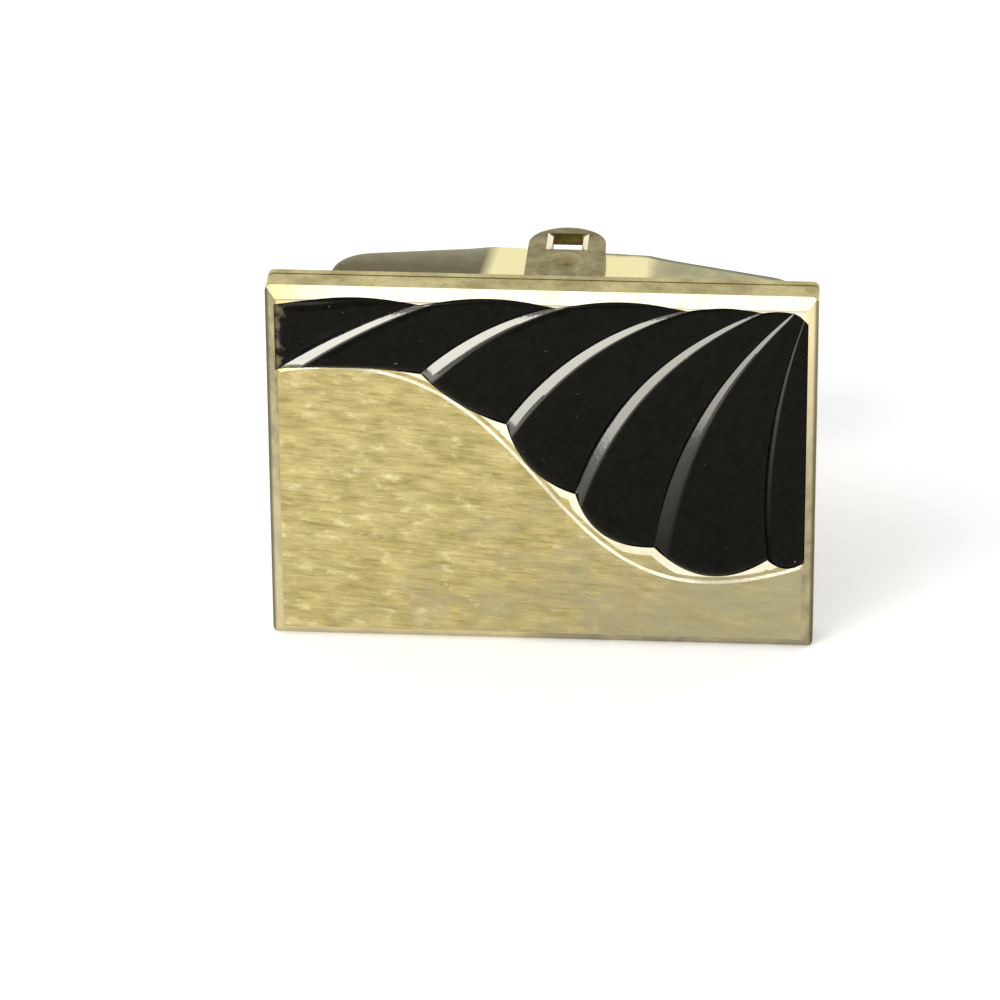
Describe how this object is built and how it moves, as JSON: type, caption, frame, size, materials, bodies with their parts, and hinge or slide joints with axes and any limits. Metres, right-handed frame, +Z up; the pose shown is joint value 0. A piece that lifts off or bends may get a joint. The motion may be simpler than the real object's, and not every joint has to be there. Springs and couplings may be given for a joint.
{
  "type": "swivel toggle cufflink",
  "caption": "Cufflink with a bevelled rectangular gilt face, a black fluted inlay, a forked post and a torpedo toggle bar that swivels in line to pass a buttonhole.",
  "frame": {"origin": "where the post leaves the back of the plate, at the middle of the plate", "axes": "+X to the right of the face as worn, +Y back along the post to the toggle bar, +Z up; the face looks toward -Y"},
  "size_m": [0.02, 0.018, 0.0142],
  "materials": {
    "gilt_face": "gilt brass, satin brushed across the field, bright cut on the bevel and the lip",
    "black_inlay": "black onyx, carved in rolled flutes and polished, worn along its left side",
    "cement": "set cement, dull",
    "solder": "soft solder, dull grey",
    "gilt_back": "gilt brass, worn satin",
    "gilt_fittings": "gilt brass, tumbled and tarnished in the hollows"
  },
  "bodies": {
    "cufflink_body": {"face_plate": "gilt_face", "fluted_inlay": "black_inlay", "inlay_cement": "cement", "seam_solder": "solder", "backing_plate": "gilt_back", "post_foot": "gilt_back", "foot_solder": "solder", "fork_post": "gilt_fittings", "pivot_pin": "gilt_fittings"},
    "toggle": {"hub_bush": "gilt_fittings", "toggle_upper_shell": "gilt_fittings", "toggle_lower_shell": "gilt_fittings"}
  },
  "joints": [
    {"name": "toggle_swivel", "type": "hinge", "parent": "cufflink_body", "child": "toggle", "pos_m": [0, 0.0133, 0], "axis": [0, 0, 1], "range_deg": [-85, 95]}
  ]
}
